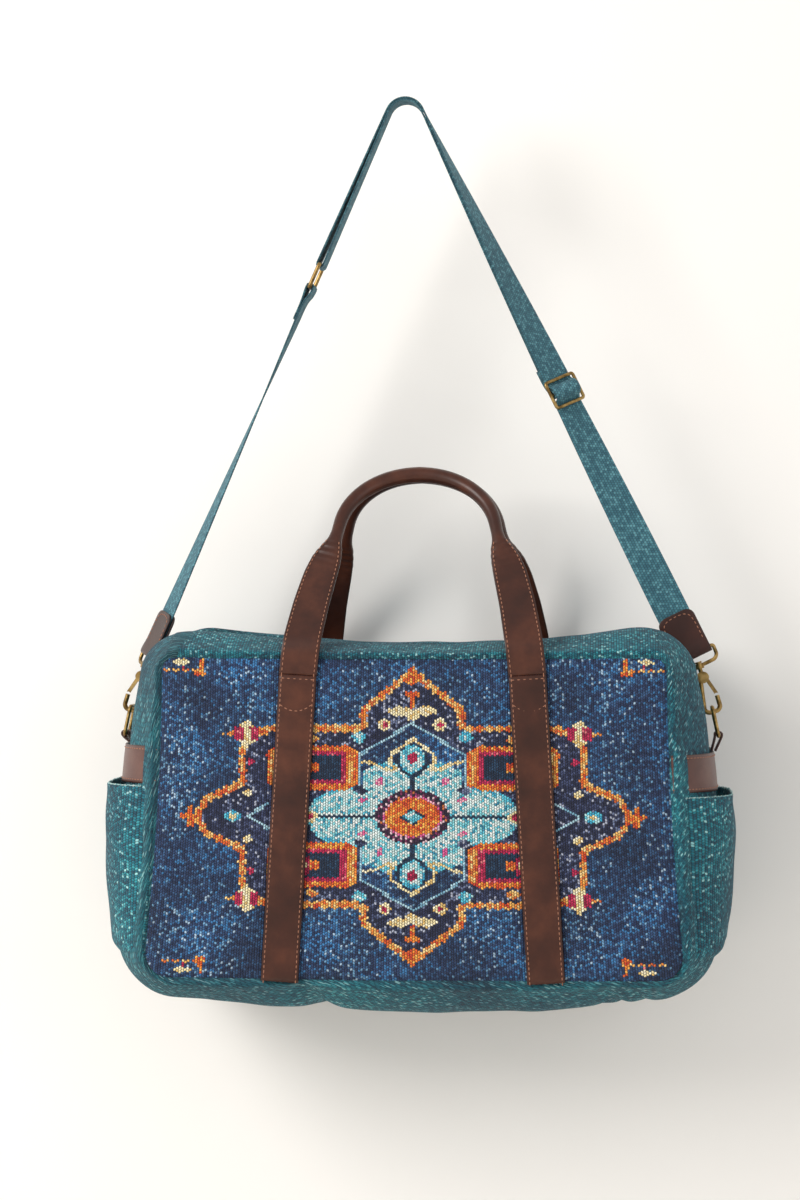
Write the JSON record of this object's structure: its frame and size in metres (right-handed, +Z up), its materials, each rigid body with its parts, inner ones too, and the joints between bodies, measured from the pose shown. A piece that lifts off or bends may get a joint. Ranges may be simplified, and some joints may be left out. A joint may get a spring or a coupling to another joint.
{
  "type": "carpet bag",
  "caption": "Soft weekend bag in woven rug cloth with leather trim, two carry handles, end pockets, zipped mouth and adjustable shoulder strap, hung by the strap.",
  "frame": {"origin": "axis of the peg or rail that the shoulder strap hangs from, at the middle of the webbing's width", "axes": "+Z up, -Y the bag's patterned front, +X to the right seen from the front"},
  "size_m": [0.6072, 0.245, 0.868],
  "materials": {
    "teal_weave": "coarse rug weave, flecked",
    "navy_weave": "coarse rug weave, flecked",
    "pattern_gold": "woven colour field",
    "pattern_red": "woven colour field",
    "pattern_aqua": "woven colour field",
    "pattern_plum": "woven colour field",
    "pattern_cream": "woven colour field",
    "brown_leather": "smooth waxed leather",
    "webbing": "woven cotton webbing",
    "zip_tape": "fine woven tape",
    "antique_brass": "antique brass, satin"
  },
  "bodies": {
    "shoulder_strap": {"strap_ring": "antique_brass", "strap_slider": "antique_brass", "strap_tab_left": "brown_leather", "strap_tab_right": "brown_leather", "swivel_eye_left": "antique_brass", "swivel_eye_right": "antique_brass", "webbing_long": "webbing", "webbing_short": "webbing"},
    "bag": {"end_band_left": "brown_leather", "end_band_right": "brown_leather", "end_pocket_left": "teal_weave", "end_pocket_right": "teal_weave", "gusset_bottom": "teal_weave", "gusset_end_left": "teal_weave", "gusset_end_right": "teal_weave", "gusset_top_back": "teal_weave", "gusset_top_front": "teal_weave", "mouth_facing": "teal_weave", "panel_back": "navy_weave", "panel_front": "navy_weave", "pattern_centre": "pattern_red", "pattern_flowers": "pattern_cream", "pattern_frame": "pattern_gold", "pattern_ring": "pattern_plum", "pattern_squares": "pattern_red", "pattern_star": "pattern_aqua", "ring_loop_left": "brown_leather", "ring_loop_right": "brown_leather", "strap_back_left": "brown_leather", "strap_back_right": "brown_leather", "strap_front_left": "brown_leather", "strap_front_right": "brown_leather", "zip_stops": "antique_brass", "zip_tape_back": "zip_tape", "zip_tape_front": "zip_tape", "zip_teeth_back": "antique_brass", "zip_teeth_front": "antique_brass"},
    "hook_left": {"hook_body_left": "antique_brass"},
    "hook_right": {"hook_body_right": "antique_brass"},
    "gate_left": {"hook_gate_left": "antique_brass"},
    "gate_right": {"hook_gate_right": "antique_brass"},
    "ring_left": {"end_ring_left": "antique_brass"},
    "ring_right": {"end_ring_right": "antique_brass"},
    "handle_front": {"handle_front": "brown_leather"},
    "handle_back": {"handle_back": "brown_leather"},
    "zip_slider": {"zip_slider": "antique_brass"},
    "zip_pull": {"zip_pull": "antique_brass"}
  },
  "joints": [
    {"name": "bag_swing", "type": "hinge", "parent": "shoulder_strap", "child": "bag", "pos_m": [0.014, 0, -0.565], "axis": [1, 0, 0], "range_deg": [-9, 9]},
    {"name": "hook_swivel_left", "type": "hinge", "parent": "shoulder_strap", "child": "hook_left", "pos_m": [-0.264, 0, -0.565], "axis": [0.2924, 0, 0.9563], "range_deg": [-12, 12]},
    {"name": "gate_left", "type": "hinge", "parent": "hook_left", "child": "gate_left", "pos_m": [-0.25751, 0, -0.53352], "axis": [0, -1, 0], "range_deg": [0, 20], "stiffness_Nm_per_rad": 0.02, "springref_deg": -20.05},
    {"name": "end_ring_left", "type": "hinge", "parent": "bag", "child": "ring_left", "pos_m": [-0.26881, 0, -0.58764], "axis": [0, 1, 0], "range_deg": [-4, 4]},
    {"name": "hook_swivel_right", "type": "hinge", "parent": "shoulder_strap", "child": "hook_right", "pos_m": [0.292, 0, -0.565], "axis": [-0.2924, 0, 0.9563], "range_deg": [-12, 12]},
    {"name": "gate_right", "type": "hinge", "parent": "hook_right", "child": "gate_right", "pos_m": [0.28551, 0, -0.53352], "axis": [0, 1, 0], "range_deg": [0, 20], "stiffness_Nm_per_rad": 0.02, "springref_deg": -20.05},
    {"name": "end_ring_right", "type": "hinge", "parent": "bag", "child": "ring_right", "pos_m": [0.29681, 0, -0.58764], "axis": [0, 1, 0], "range_deg": [-4, 4]},
    {"name": "handle_front_fold", "type": "hinge", "parent": "bag", "child": "handle_front", "pos_m": [0.014, -0.1216, -0.528], "axis": [1, 0, 0], "range_deg": [0, 170]},
    {"name": "handle_back_fold", "type": "hinge", "parent": "bag", "child": "handle_back", "pos_m": [0.014, 0.1216, -0.528], "axis": [-1, 0, 0], "range_deg": [0, 170]},
    {"name": "zip_slide", "type": "slide", "parent": "bag", "child": "zip_slider", "axis": [1, 0, 0], "range_m": [0, 0.284], "deforming": ["zip_teeth_front", "zip_teeth_back"]},
    {"name": "zip_pull_turn", "type": "hinge", "parent": "zip_slider", "child": "zip_pull", "pos_m": [-0.1267, 0, -0.5038], "axis": [0, -1, 0], "range_deg": [0, 170]}
  ]
}
